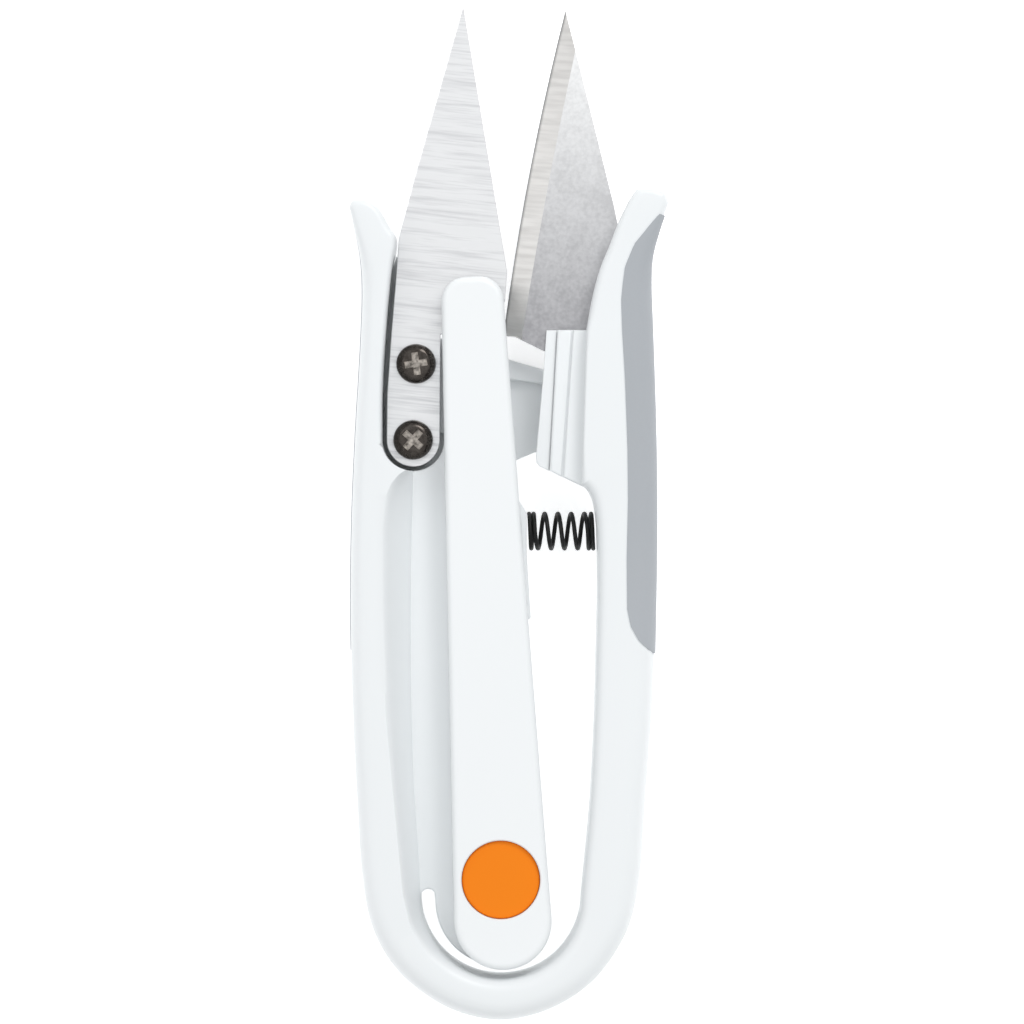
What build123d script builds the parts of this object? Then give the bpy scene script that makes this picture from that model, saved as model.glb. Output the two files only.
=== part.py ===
"""Thread snips: two blades in a sprung U-shaped handle with a swinging keeper lever.

Millimetres. The snips lie on their back on z = 0 with the blade tips towards +Y,
the moving arm at +X and the front, with the lever, facing +Z.
"""

from build123d import *

import os
from math import cos, pi, radians, sin

os.makedirs("parts", exist_ok=True)

# ---- driving dimensions -----------------------------------------------------

LIMB_THICKNESS = 13.0
LIMB_OUTER_ROUND = 2.0
CROWN_X = -0.9          # where the two halves of the bow meet

PLATE_BACK = 1.5
PLATE_FRONT = 7.0
BLADE_THICKNESS = 1.4
EDGE_LAND = 0.15        # thickness left at a ground cutting edge
RECESS_FLOOR = PLATE_FRONT - BLADE_THICKNESS
RIGHT_BLADE_BACK = PLATE_FRONT + 0.03
RIGHT_BLADE_FRONT = RIGHT_BLADE_BACK + BLADE_THICKNESS
TAB_BACK = RIGHT_BLADE_FRONT + 0.02
TAB_STEP_TOPS = (9.0, 9.7, 10.35)

WEB_BACK = 1.0          # back of the moving arm's inner parts
GUIDE_FRONT = 2.4
GUIDE_LIP_FRONT = 4.0
GUIDE_POCKET_TOP = 4.2

PIVOT = (-0.89, -43.32)
LEVER_LEAN = 2.8        # degrees, tip towards -X
LEVER_BACK = 7.1
LEVER_FRONT = 12.0
LEVER_END_OFFSET = -4.9
LEVER_END_RADIUS = 5.75
LEVER_TIP = 71.1        # along the lever from the pivot
LEVER_TIP_HALF_WIDTH = 3.6
LEVER_TIP_ROUND = 2.9
LEVER_RELIEF_START = 46.0
LEVER_RELIEF_BACK = 10.6
LEVER_PAD_START = 66.4
LEVER_PAD_BACK = 8.65

PIN_RADIUS = 1.75
PIN_CLEARANCE = 0.05
PIN_HEAD_RADIUS = 3.4
WELL_RADIUS = 3.75      # hollow in the lever round the pin head
WELL_FLOOR = 9.0
WASHER_THICKNESS = 0.4
HEAD_THICKNESS = 0.8
CAP_RADIUS = 4.6
CAP_BACK = 10.5
CAP_FRONT = 11.45

SCREW_RADIUS = 1.25
SCREW_HEAD_RADIUS = 2.35
SCREW_HEAD_HEIGHT = 1.6
SCREW_POINT = 1.0
CROSS_LENGTH = 2.7
CROSS_WIDTH = 0.8
CROSS_DEPTH = 0.9
BLADE_HOLE_RADIUS = 1.4
LEFT_SCREWS = ((-10.95, 17.53), (-11.3, 8.51))
LEFT_SCREW_LENGTH = 5.2
RIGHT_SCREWS = ((8.1, 16.3), (8.1, 9.3))
RIGHT_SCREW_SEAT = 3.0
RIGHT_SCREW_LENGTH = 6.2

SPRING_Y = -2.3
SPRING_Z = 4.6
SPRING_COIL_RADIUS = 2.08
SPRING_WIRE_RADIUS = 0.26
SPRING_SEAT_X = 2.15
SPRING_SEAT_RIGHT_X = 10.48
SPRING_PEG_RADIUS = 1.4
SPRING_PEG_LENGTH = 1.1

LEFT_GRIP_Z = (0.0, 10.0)
RIGHT_GRIP_Z = (3.0, LIMB_THICKNESS)


def save(part, name):
    """Label one finished piece and write it."""
    part.label = name
    export_step(part, f"parts/{name}.step")


# ---- handle blank: the U of both limbs and the bow ----------------------------

with BuildPart() as band:
    with BuildSketch():
        with BuildLine():
            outer = Spline(
                (-18.8, 35.6), (-17.35, 27.0), (-18.1, 9.7), (-18.7, -11.7), (-17.9, -34.2),
                (-16.3, -48.6), (-11.3, -55.8), (-1.0, -60.0), (9.6, -55.7), (14.4, -48.6),
                (16.25, -34.2), (17.45, -10.0), (17.4, 9.0), (16.85, 27.0), (18.85, 36.1),
            )
            ThreePointArc(outer @ 1, (17.4, 38.05), (15.1, 37.9))
            Spline((15.1, 37.9), (12.9, 34.0), (10.8, 28.7), (9.2, 21.5))
            Line((9.2, 21.5), (8.6, 2.9))
            Spline(
                (8.6, 2.9), (10.45, -1.0), (10.5, -9.0), (10.15, -24.0), (9.45, -36.0), (8.6, -45.6),
                tangents=((0.94, -0.34), (0.0, -1.0)),
            )
            ThreePointArc((8.6, -45.6), (-0.9, -55.1), (-10.4, -45.6))
            Spline(
                (-10.4, -45.6), (-11.2, -32.0), (-11.6, -14.0), (-11.2, 6.0),
                tangents=((0.0, 1.0), (0.06, 1.0)),
            )
            Line((-11.2, 6.0), (-11.2, 27.0))
            Line((-11.2, 27.0), (-13.2, 32.4))
            Spline((-13.2, 32.4), (-15.1, 35.5), (-17.3, 36.8), (-18.8, 35.6))
        make_face()
    extrude(amount=LIMB_THICKNESS)
    rims = band.edges().group_by(Axis.Z)[0] + band.edges().group_by(Axis.Z)[-1]
    fillet(rims.sort_by(SortBy.LENGTH)[-2:], LIMB_OUTER_ROUND)


# ---- blades -------------------------------------------------------------------

def left_blade_outline():
    """The fixed blade with its round-ended tang."""
    Line((-5.35, 60.0), (-0.15, 28.6))
    Line((-0.15, 28.6), (-0.4, 24.9))
    Line((-0.4, 24.9), (-8.05, 21.0))
    Line((-8.05, 21.0), (-8.15, 8.5))
    ThreePointArc((-8.15, 8.5), (-11.3, 5.35), (-14.45, 8.5))
    Line((-14.45, 8.5), (-14.45, 14.0))
    Spline((-14.45, 14.0), (-13.85, 25.0), (-13.2, 32.4))
    Line((-13.2, 32.4), (-5.35, 60.0))


def left_blade_ground_outline():
    """What the hollow side of the fixed blade keeps behind its bevel."""
    Line((-6.88, 54.6), (-2.65, 28.4))
    Line((-2.65, 28.4), (-2.7, 23.73))
    Line((-2.7, 23.73), (-8.05, 21.0))
    Line((-8.05, 21.0), (-8.15, 8.5))
    ThreePointArc((-8.15, 8.5), (-11.3, 5.35), (-14.45, 8.5))
    Line((-14.45, 8.5), (-14.45, 14.0))
    Spline((-14.45, 14.0), (-13.85, 25.0), (-13.2, 32.4))
    Line((-13.2, 32.4), (-6.88, 54.6))


def right_blade_outline():
    """The moving blade: its cutting edge bows in a little."""
    ThreePointArc((6.75, 59.4), (2.35, 39.4), (-0.4, 22.4))
    Line((-0.4, 22.4), (-0.4, 20.8))
    Line((-0.4, 20.8), (0.6, 20.8))
    Line((0.6, 20.8), (4.9, 18.7))
    Line((4.9, 18.7), (4.9, 9.0))
    ThreePointArc((4.9, 9.0), (8.1, 5.8), (11.3, 9.0))
    Line((11.3, 9.0), (11.3, 24.0))
    Line((11.3, 24.0), (13.6, 30.6))
    Line((13.6, 30.6), (12.5, 36.1))
    Line((12.5, 36.1), (6.75, 59.4))


def right_blade_ground_outline():
    """The moving blade's outer face, which ends at the top of the bevel."""
    ThreePointArc((7.93, 54.6), (4.75, 38.9), (1.85, 22.4))
    Line((1.85, 22.4), (1.6, 20.8))
    Line((1.6, 20.8), (1.7, 20.263))
    Line((1.7, 20.263), (4.9, 18.7))
    Line((4.9, 18.7), (4.9, 9.0))
    ThreePointArc((4.9, 9.0), (8.1, 5.8), (11.3, 9.0))
    Line((11.3, 9.0), (11.3, 24.0))
    Line((11.3, 24.0), (13.6, 30.6))
    Line((13.6, 30.6), (12.5, 36.1))
    Line((12.5, 36.1), (7.93, 54.6))


def outline_face(outline, height):
    """A filled blade outline on the plane at this height."""
    with BuildSketch(Plane.XY.offset(height)) as sketch:
        with BuildLine():
            outline()
        make_face()
    return sketch.sketch


with BuildPart() as left_blade:
    add(outline_face(left_blade_outline, PLATE_FRONT))
    extrude(amount=-EDGE_LAND)
    add(outline_face(left_blade_outline, PLATE_FRONT - EDGE_LAND))
    add(outline_face(left_blade_ground_outline, RECESS_FLOOR))
    loft(ruled=True)
    with Locations(*[(x, y, PLATE_FRONT) for x, y in LEFT_SCREWS]):
        Hole(BLADE_HOLE_RADIUS)
save(left_blade.part, "left_blade")

with BuildPart() as right_blade:
    add(outline_face(right_blade_outline, RIGHT_BLADE_BACK))
    extrude(amount=EDGE_LAND)
    add(outline_face(right_blade_outline, RIGHT_BLADE_BACK + EDGE_LAND))
    add(outline_face(right_blade_ground_outline, RIGHT_BLADE_FRONT))
    loft(ruled=True)
    with Locations(*[(x, y, RIGHT_BLADE_FRONT) for x, y in RIGHT_SCREWS]):
        Hole(BLADE_HOLE_RADIUS)
save(right_blade.part, "right_blade")


# ---- soft grips: inlaid in the outer corner of each limb -----------------------

def right_grip_region():
    """Seen from the front, the moving arm's grip and the space outside it."""
    Spline(
        (18.3, 35.5), (14.9, 31.0), (13.55, 25.1), (14.0, 15.0), (14.35, 1.4), (14.2, -10.5),
        (15.2, -14.9), (17.5, -16.75),
    )
    Polyline((17.5, -16.75), (22.0, -16.75), (22.0, 35.5), (18.3, 35.5))


def left_grip_region():
    """Seen from the front, the fixed limb's grip and the space outside it."""
    Spline(
        (-18.3, 34.6), (-16.4, 30.0), (-16.2, 20.0), (-16.6, 1.4), (-16.7, -10.5),
        (-17.3, -15.3), (-18.7, -17.3),
    )
    Polyline((-18.7, -17.3), (-23.0, -17.3), (-23.0, 34.6), (-18.3, 34.6))


with BuildPart() as right_grip_zone:
    with BuildSketch(Plane.XY.offset(RIGHT_GRIP_Z[0])):
        with BuildLine():
            right_grip_region()
        make_face()
    extrude(amount=RIGHT_GRIP_Z[1] - RIGHT_GRIP_Z[0])

with BuildPart() as left_grip_zone:
    with BuildSketch(Plane.XY.offset(LEFT_GRIP_Z[0])):
        with BuildLine():
            left_grip_region()
        make_face()
    extrude(amount=LEFT_GRIP_Z[1] - LEFT_GRIP_Z[0])

with BuildPart() as right_grip:
    add(band.part)
    add(right_grip_zone.part, mode=Mode.INTERSECT)
save(right_grip.part, "right_grip")

with BuildPart() as left_grip:
    add(band.part)
    add(left_grip_zone.part, mode=Mode.INTERSECT)
save(left_grip.part, "left_grip")


# ---- fixed half of the handle ---------------------------------------------------

with BuildPart() as plate:
    with BuildSketch(Plane.XY.offset(PLATE_BACK)):
        with BuildLine():
            Polyline((-13.6, 30.5), (-8.3, 23.0), (-8.3, 20.0), (-5.5, 20.0), (-5.5, 2.8), (1.07, 1.63))
            Line((1.07, 1.63), (1.84, 0.44))
            Line((1.84, 0.44), (SPRING_SEAT_X, -0.1))
            Line((SPRING_SEAT_X, -0.1), (SPRING_SEAT_X, -4.6))
            Line((SPRING_SEAT_X, -4.6), (2.67, -12.6))
            Line((2.67, -12.6), (1.3, -13.4))
            Line((1.3, -13.4), (4.3, -42.0))
            Line((4.3, -42.0), (4.76, -48.2))
            ThreePointArc((4.76, -48.2), (3.1, -52.2), (-0.9, -53.86))
            ThreePointArc((-0.9, -53.86), (-6.42, -51.62), (-8.66, -46.2))
            Line((-8.66, -46.2), (-8.66, -45.6))
            ThreePointArc((-8.66, -45.6), (-9.53, -44.73), (-10.4, -45.6))
            Polyline((-10.4, -45.6), (-13.0, -45.0), (-14.5, -20.0), (-14.0, 5.0), (-13.6, 30.5))
        make_face()
    extrude(amount=PLATE_FRONT - PLATE_BACK)

with BuildPart() as slope_space:
    with BuildSketch(Plane.XY.offset(PLATE_FRONT)):
        with BuildLine():
            Spline((-11.2, 9.0), (-11.6, -12.0), (-11.2, -32.0), (-10.45, -45.0), (-9.04, -50.5))
            Polyline((-9.04, -50.5), (-1.5, -50.5), (-1.5, 9.0), (-11.2, 9.0))
        make_face()
    with BuildSketch(Plane.XY.offset(LIMB_THICKNESS)):
        with BuildLine():
            Spline((-15.0, 9.0), (-14.8, -12.0), (-13.4, -32.0), (-12.1, -45.0), (-9.9, -51.3))
            Polyline((-9.9, -51.3), (-1.5, -51.3), (-1.5, 9.0), (-15.0, 9.0))
        make_face()
    loft(ruled=True)

with BuildPart() as left_handle:
    add(band.part)
    split(bisect_by=Plane.YZ.offset(CROWN_X), keep=Keep.BOTTOM)
    add(plate.part)
    add(slope_space.part, mode=Mode.SUBTRACT)
    with BuildSketch(Plane.XY.offset(RECESS_FLOOR - 0.02)):
        with BuildLine():
            ThreePointArc((-14.95, 8.5), (-11.3, 4.85), (-7.65, 8.5))
            Polyline((-7.65, 8.5), (-7.65, 20.3), (0.3, 24.3), (1.5, 40.0), (-12.0, 40.0), (-13.1, 33.0))
            Spline((-13.1, 33.0), (-13.75, 29.3), (-14.4, 23.0), (-14.95, 14.0))
            Line((-14.95, 14.0), (-14.95, 8.5))
        make_face()
    extrude(amount=LIMB_THICKNESS, mode=Mode.SUBTRACT)
    with BuildSketch(Plane.XY.offset(-1.0)):
        with Locations((-1.9, 12.6)):
            Rectangle(13.6, 20.0)
    extrude(amount=1.0 + GUIDE_POCKET_TOP, mode=Mode.SUBTRACT)
    with Locations(*[(x, y, RECESS_FLOOR) for x, y in LEFT_SCREWS]):
        Hole(SCREW_RADIUS + 0.02, depth=LEFT_SCREW_LENGTH - BLADE_THICKNESS)
    with Locations((PIVOT[0], PIVOT[1], PLATE_FRONT)):
        Hole(PIN_RADIUS)
    with Locations(Plane((SPRING_SEAT_X, SPRING_Y, SPRING_Z), z_dir=(1, 0, 0))):
        Cylinder(SPRING_PEG_RADIUS, SPRING_PEG_LENGTH, align=(Align.CENTER, Align.CENTER, Align.MIN))
    add(left_grip_zone.part, mode=Mode.SUBTRACT)
save(left_handle.part, "left_handle")


# ---- moving half of the handle ----------------------------------------------------

def arm_block(points, back, front):
    """A straight-sided block of the moving arm between two heights."""
    with BuildPart() as block:
        with BuildSketch(Plane.XY.offset(back)):
            with BuildLine():
                Polyline(*points, close=True)
            make_face()
        extrude(amount=front - back)
    return block.part


TAB_LEFT = ((4.49, 21.46), (4.07, 15.6), (3.25, 6.6), (3.6, 5.5), (4.9, 4.83))
TAB_RIGHT = ((8.7, 2.9), (9.6, 2.9), (9.9, 21.46))
FIRST_RIB = ((5.85, 21.46), (4.9, 4.83))
SECOND_RIB = ((7.65, 21.46), (6.44, 4.05))
WEB_LEFT = ((4.75, 18.5), (4.35, 15.0), (3.6, 7.0), (3.9, 5.9), (5.1, 5.2))
GUIDE_OUTLINE = ((-0.5, 18.35), (4.6, 16.85), (9.6, 16.85), (9.6, 7.2), (3.4, 7.2), (-0.5, 5.55))
GUIDE_LIP_OUTLINE = ((-0.5, 18.35), (4.6, 16.85), (5.5, 16.85), (5.5, 15.0), (-0.5, 15.9))

arm_blocks = [
    arm_block(WEB_LEFT + ((8.7, 3.2), (9.6, 3.2), (9.6, 18.5)), WEB_BACK, TAB_BACK),
    arm_block(GUIDE_OUTLINE, WEB_BACK, GUIDE_FRONT),
    arm_block(GUIDE_LIP_OUTLINE, WEB_BACK, GUIDE_LIP_FRONT),
    arm_block(TAB_LEFT + TAB_RIGHT, TAB_BACK, TAB_STEP_TOPS[0]),
    arm_block(FIRST_RIB + TAB_RIGHT, TAB_BACK, TAB_STEP_TOPS[1]),
    arm_block(SECOND_RIB + TAB_RIGHT, TAB_BACK, TAB_STEP_TOPS[2]),
]

with BuildPart() as right_handle:
    add(band.part)
    split(bisect_by=Plane.YZ.offset(CROWN_X), keep=Keep.TOP)
    add(arm_blocks)
    with BuildSketch(Plane.XY.offset(PLATE_FRONT)):
        with BuildLine():
            right_blade_outline()
        make_face()
        offset(amount=0.05)
    extrude(amount=TAB_BACK - PLATE_FRONT, mode=Mode.SUBTRACT)
    with Locations(*[(x, y, WEB_BACK - 1.0) for x, y in RIGHT_SCREWS]):
        Cylinder(
            SCREW_HEAD_RADIUS + 0.15, RIGHT_SCREW_SEAT - WEB_BACK + 1.0,
            align=(Align.CENTER, Align.CENTER, Align.MIN), mode=Mode.SUBTRACT,
        )
        Cylinder(
            SCREW_RADIUS + 0.02, RIGHT_SCREW_SEAT + RIGHT_SCREW_LENGTH - WEB_BACK + 1.0,
            align=(Align.CENTER, Align.CENTER, Align.MIN), mode=Mode.SUBTRACT,
        )
    with Locations(Plane((SPRING_SEAT_RIGHT_X + 0.3, SPRING_Y, SPRING_Z), z_dir=(-1, 0, 0))):
        Cylinder(SPRING_PEG_RADIUS, SPRING_PEG_LENGTH + 0.3, align=(Align.CENTER, Align.CENTER, Align.MIN))
    add(right_grip_zone.part, mode=Mode.SUBTRACT)
save(right_handle.part, "right_handle")


# ---- keeper lever, its pivot and cap ------------------------------------------------

lean = radians(LEVER_LEAN)
lever_plane = Plane(origin=(PIVOT[0], PIVOT[1], 0.0), x_dir=(cos(lean), sin(lean), 0.0), z_dir=(0, 0, 1))

with BuildPart() as lever:
    with BuildSketch(lever_plane.offset(LEVER_BACK)) as lever_outline:
        with BuildLine():
            Polyline(
                (-LEVER_END_RADIUS, LEVER_END_OFFSET), (-LEVER_TIP_HALF_WIDTH, LEVER_TIP),
                (LEVER_TIP_HALF_WIDTH, LEVER_TIP), (LEVER_END_RADIUS, LEVER_END_OFFSET),
            )
            ThreePointArc(
                (-LEVER_END_RADIUS, LEVER_END_OFFSET), (0.0, LEVER_END_OFFSET - LEVER_END_RADIUS),
                (LEVER_END_RADIUS, LEVER_END_OFFSET),
            )
        make_face()
        fillet(lever_outline.vertices().sort_by(Axis.Y)[-2:], LEVER_TIP_ROUND)
    extrude(amount=LEVER_FRONT - LEVER_BACK)
    fillet(lever.edges().group_by(Axis.Z)[-1], 0.8)
    relief_length = LEVER_PAD_START - LEVER_RELIEF_START
    with BuildSketch(lever_plane.offset(LEVER_BACK - 0.1)):
        with Locations((0.0, LEVER_RELIEF_START + relief_length / 2)):
            Rectangle(20.0, relief_length)
    extrude(amount=LEVER_RELIEF_BACK - LEVER_BACK + 0.1, mode=Mode.SUBTRACT)
    with BuildSketch(lever_plane.offset(LEVER_BACK - 0.1)):
        with Locations((0.0, LEVER_PAD_START + 5.0)):
            Rectangle(20.0, 10.0)
    extrude(amount=LEVER_PAD_BACK - LEVER_BACK + 0.1, mode=Mode.SUBTRACT)
    with Locations((PIVOT[0], PIVOT[1], LEVER_BACK)):
        Cylinder(
            PIN_RADIUS + PIN_CLEARANCE, LEVER_FRONT - LEVER_BACK,
            align=(Align.CENTER, Align.CENTER, Align.MIN), mode=Mode.SUBTRACT,
        )
    with Locations((PIVOT[0], PIVOT[1], WELL_FLOOR)):
        Cylinder(
            WELL_RADIUS, LEVER_FRONT - WELL_FLOOR,
            align=(Align.CENTER, Align.CENTER, Align.MIN), mode=Mode.SUBTRACT,
        )
    with Locations((PIVOT[0], PIVOT[1], CAP_BACK)):
        Cylinder(
            CAP_RADIUS + 0.04, LEVER_FRONT - CAP_BACK,
            align=(Align.CENTER, Align.CENTER, Align.MIN), mode=Mode.SUBTRACT,
        )
    with Locations((PIVOT[0], PIVOT[1], LEVER_FRONT - 0.15)):
        Cone(
            CAP_RADIUS, CAP_RADIUS + 0.18, 0.16,
            align=(Align.CENTER, Align.CENTER, Align.MIN), mode=Mode.SUBTRACT,
        )
save(lever.part, "lever")

with BuildPart() as pivot_pin:
    with Locations((PIVOT[0], PIVOT[1], PLATE_BACK - HEAD_THICKNESS)):
        Cylinder(PIN_HEAD_RADIUS - 0.4, HEAD_THICKNESS, align=(Align.CENTER, Align.CENTER, Align.MIN))
        pin_top = WELL_FLOOR + WASHER_THICKNESS + 0.05 + HEAD_THICKNESS
        Cylinder(
            PIN_RADIUS - 0.005, pin_top - PLATE_BACK + HEAD_THICKNESS,
            align=(Align.CENTER, Align.CENTER, Align.MIN),
        )
    with Locations((PIVOT[0], PIVOT[1], pin_top)):
        Cylinder(PIN_HEAD_RADIUS, HEAD_THICKNESS, align=(Align.CENTER, Align.CENTER, Align.MAX))
save(pivot_pin.part, "pivot_pin")

with BuildPart() as pivot_washer:
    with Locations((PIVOT[0], PIVOT[1], WELL_FLOOR + 0.025)):
        Cylinder(PIN_HEAD_RADIUS - 0.1, WASHER_THICKNESS, align=(Align.CENTER, Align.CENTER, Align.MIN))
        Cylinder(
            PIN_RADIUS + 0.1, WASHER_THICKNESS,
            align=(Align.CENTER, Align.CENTER, Align.MIN), mode=Mode.SUBTRACT,
        )
save(pivot_washer.part, "pivot_washer")

with BuildPart() as pivot_cap:
    with Locations((PIVOT[0], PIVOT[1], CAP_BACK)):
        Cylinder(CAP_RADIUS, CAP_FRONT - CAP_BACK, align=(Align.CENTER, Align.CENTER, Align.MIN))
    fillet(pivot_cap.edges().group_by(Axis.Z)[-1], 0.25)
save(pivot_cap.part, "pivot_cap")


# ---- blade screws -----------------------------------------------------------------

def blade_screws(positions, cross_turns, seat, length, up):
    """Pan-head screws with a cross recess, heads on the seat, pointing away from it."""
    places = []
    for (x, y), turn in zip(positions, cross_turns):
        cross_direction = (cos(radians(turn)), sin(radians(turn)), 0.0)
        places.append(Plane((x, y, seat), x_dir=cross_direction, z_dir=(0, 0, up)))
    with BuildPart() as screws:
        with Locations(*places):
            Cylinder(SCREW_HEAD_RADIUS, SCREW_HEAD_HEIGHT, align=(Align.CENTER, Align.CENTER, Align.MIN))
        fillet(screws.edges().group_by(Axis.Z)[-1 if up > 0 else 0], 1.0)
        with Locations(*places):
            Cylinder(SCREW_RADIUS, length - SCREW_POINT, align=(Align.CENTER, Align.CENTER, Align.MAX))
            with Locations((0.0, 0.0, SCREW_POINT - length)):
                Cone(0.3, SCREW_RADIUS, SCREW_POINT, align=(Align.CENTER, Align.CENTER, Align.MAX))
            with Locations((0.0, 0.0, SCREW_HEAD_HEIGHT)):
                Box(CROSS_LENGTH, CROSS_WIDTH, 2 * CROSS_DEPTH, mode=Mode.SUBTRACT)
                Box(CROSS_WIDTH, CROSS_LENGTH, 2 * CROSS_DEPTH, mode=Mode.SUBTRACT)
    return screws.part


left_screws = blade_screws(LEFT_SCREWS, (8.0, 48.0), PLATE_FRONT, LEFT_SCREW_LENGTH, 1)
save(left_screws, "left_blade_screws")

right_screws = blade_screws(RIGHT_SCREWS, (20.0, 65.0), RIGHT_SCREW_SEAT, RIGHT_SCREW_LENGTH, -1)
save(right_screws, "right_blade_screws")


# ---- return spring ------------------------------------------------------------------

CLOSED_TURNS = 1.25
OPEN_TURNS = 4.0
POINTS_PER_TURN = 12
CLOSED_PITCH = 0.56


def spring_height(turn, open_pitch):
    """Distance along the spring's axis after this many turns."""
    closed_start = min(turn, CLOSED_TURNS)
    opened = min(max(turn - CLOSED_TURNS, 0.0), OPEN_TURNS)
    closed_end = max(turn - CLOSED_TURNS - OPEN_TURNS, 0.0)
    return (closed_start + closed_end) * CLOSED_PITCH + opened * open_pitch


spring_start = SPRING_SEAT_X + SPRING_WIRE_RADIUS + 0.04
spring_end = SPRING_SEAT_RIGHT_X - SPRING_WIRE_RADIUS - 0.12
open_pitch = (spring_end - spring_start - 2 * CLOSED_TURNS * CLOSED_PITCH) / OPEN_TURNS
turns = 2 * CLOSED_TURNS + OPEN_TURNS
steps = round(turns * POINTS_PER_TURN)
coil_points = []
for step in range(steps + 1):
    turn = turns * step / steps
    angle = 2 * pi * turn
    coil_points.append((
        spring_start + spring_height(turn, open_pitch),
        SPRING_Y + SPRING_COIL_RADIUS * cos(angle),
        SPRING_Z + SPRING_COIL_RADIUS * sin(angle),
    ))

with BuildPart() as return_spring:
    with BuildLine() as coil:
        Spline(*coil_points)
    with BuildSketch(Plane(origin=coil.line @ 0, z_dir=coil.line % 0)):
        Circle(SPRING_WIRE_RADIUS)
    sweep(is_frenet=True)
save(return_spring.part, "return_spring")
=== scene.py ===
"""Thread snips: looks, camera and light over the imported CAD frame."""

from math import cos, pi, radians, sin

import bmesh
import bpy
import numpy as np
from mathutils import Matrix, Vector
from mathutils.geometry import delaunay_2d_cdt


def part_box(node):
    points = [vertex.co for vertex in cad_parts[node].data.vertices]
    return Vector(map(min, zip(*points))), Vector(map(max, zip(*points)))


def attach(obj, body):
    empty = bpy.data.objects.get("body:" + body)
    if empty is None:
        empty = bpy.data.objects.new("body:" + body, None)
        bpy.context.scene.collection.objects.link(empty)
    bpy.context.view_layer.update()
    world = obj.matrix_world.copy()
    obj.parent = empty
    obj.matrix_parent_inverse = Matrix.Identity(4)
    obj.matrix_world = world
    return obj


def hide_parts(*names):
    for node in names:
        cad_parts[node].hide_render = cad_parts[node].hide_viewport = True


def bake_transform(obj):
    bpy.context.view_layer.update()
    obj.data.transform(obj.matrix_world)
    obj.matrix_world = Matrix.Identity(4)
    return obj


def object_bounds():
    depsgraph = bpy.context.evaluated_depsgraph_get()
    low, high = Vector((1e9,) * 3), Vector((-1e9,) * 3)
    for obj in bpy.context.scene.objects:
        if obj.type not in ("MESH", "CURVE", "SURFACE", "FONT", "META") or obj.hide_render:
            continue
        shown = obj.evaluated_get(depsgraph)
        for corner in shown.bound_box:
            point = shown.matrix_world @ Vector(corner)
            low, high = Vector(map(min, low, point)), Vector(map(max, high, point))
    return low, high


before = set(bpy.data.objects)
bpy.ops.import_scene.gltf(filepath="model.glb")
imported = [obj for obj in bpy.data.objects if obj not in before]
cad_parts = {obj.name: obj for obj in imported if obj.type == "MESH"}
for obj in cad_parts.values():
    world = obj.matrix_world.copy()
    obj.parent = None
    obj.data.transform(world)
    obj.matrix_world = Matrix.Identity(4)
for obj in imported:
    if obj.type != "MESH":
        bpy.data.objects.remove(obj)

MM = 0.001
CAD_LOW, CAD_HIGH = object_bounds()
THICKNESS = (CAD_HIGH.z - CAD_LOW.z) / MM

FIXED = "fixed_half"
ARM = "moving_arm"

# Millimetres, in the CAD frame.
PLATE_BACK = 1.5
GUIDE_POCKET_TOP = 4.2
RECESS_FLOOR = 5.58
PLATE_FRONT = 7.0
BLADE_SLOT_FRONT = 8.45
STEP_TOPS = (9.0, 9.7, 10.35)
LEFT_SCREWS = ((-10.95, 17.53), (-11.3, 8.51))
RIGHT_SCREWS = ((8.1, 16.3), (8.1, 9.3))
SCREW_BORE_RADIUS = 2.5
SCREW_SEAT = 3.0
CROSS_REACH = 1.5
CROSS_FLOOR = (0.6, 0.8)
CROSS_WALL = (0.6, 1.62)
TANG_CENTRE = (-11.3, 8.5)
TANG_RADIUS = 3.12
RECESS_RADIUS = 3.65
RIB_GROOVE = 0.11
RIB_DEPTH = 0.13
BOW_CENTRE = (-0.9, -45.6)
BOW_RADIUS = 9.5
SEAM = 0.02  # hairline rim and overlap where moulded pieces meet

GRIND_TILT = radians(6.0)


# ---- outlines, in millimetres ---------------------------------------------------------------------

def smooth(points, spacing=0.5):
    """A smooth curve through these points, in short even steps, without its last point."""
    control = np.array(points, float)
    chord = np.r_[0.0, np.cumsum(np.sqrt(np.linalg.norm(np.diff(control, axis=0), axis=1)))]
    padded = np.vstack([2 * control[0] - control[1], control, 2 * control[-1] - control[-2]])
    knots = np.r_[2 * chord[0] - chord[1], chord, 2 * chord[-1] - chord[-2]]
    curve = []
    for i in range(1, len(padded) - 2):
        p0, p1, p2, p3 = padded[i - 1:i + 3]
        t0, t1, t2, t3 = knots[i - 1:i + 3]
        steps = max(2, int(np.linalg.norm(p2 - p1) / spacing))
        for t in np.linspace(t1, t2, steps, endpoint=False):
            a1 = ((t1 - t) * p0 + (t - t0) * p1) / (t1 - t0)
            a2 = ((t2 - t) * p1 + (t - t1) * p2) / (t2 - t1)
            a3 = ((t3 - t) * p2 + (t - t2) * p3) / (t3 - t2)
            b1 = ((t2 - t) * a1 + (t - t0) * a2) / (t2 - t0)
            b2 = ((t3 - t) * a2 + (t - t1) * a3) / (t3 - t1)
            curve.append(((t2 - t) * b1 + (t - t1) * b2) / (t2 - t1))
    return [tuple(p) for p in curve]


def straight(start, end, spacing=1.0):
    """Even points from start towards end, without the end."""
    start, end = np.array(start, float), np.array(end, float)
    steps = max(1, int(np.linalg.norm(end - start) / spacing))
    return [tuple(start + (end - start) * i / steps) for i in range(steps)]


def arc(centre, radius, first, last, spacing=0.45):
    """Points round part of a circle, angles in degrees, without the last."""
    steps = max(3, int(abs(radians(last - first)) * radius / spacing))
    angles = np.radians(np.linspace(first, last, steps, endpoint=False))
    return [(centre[0] + radius * cos(a), centre[1] + radius * sin(a)) for a in angles]


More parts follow.
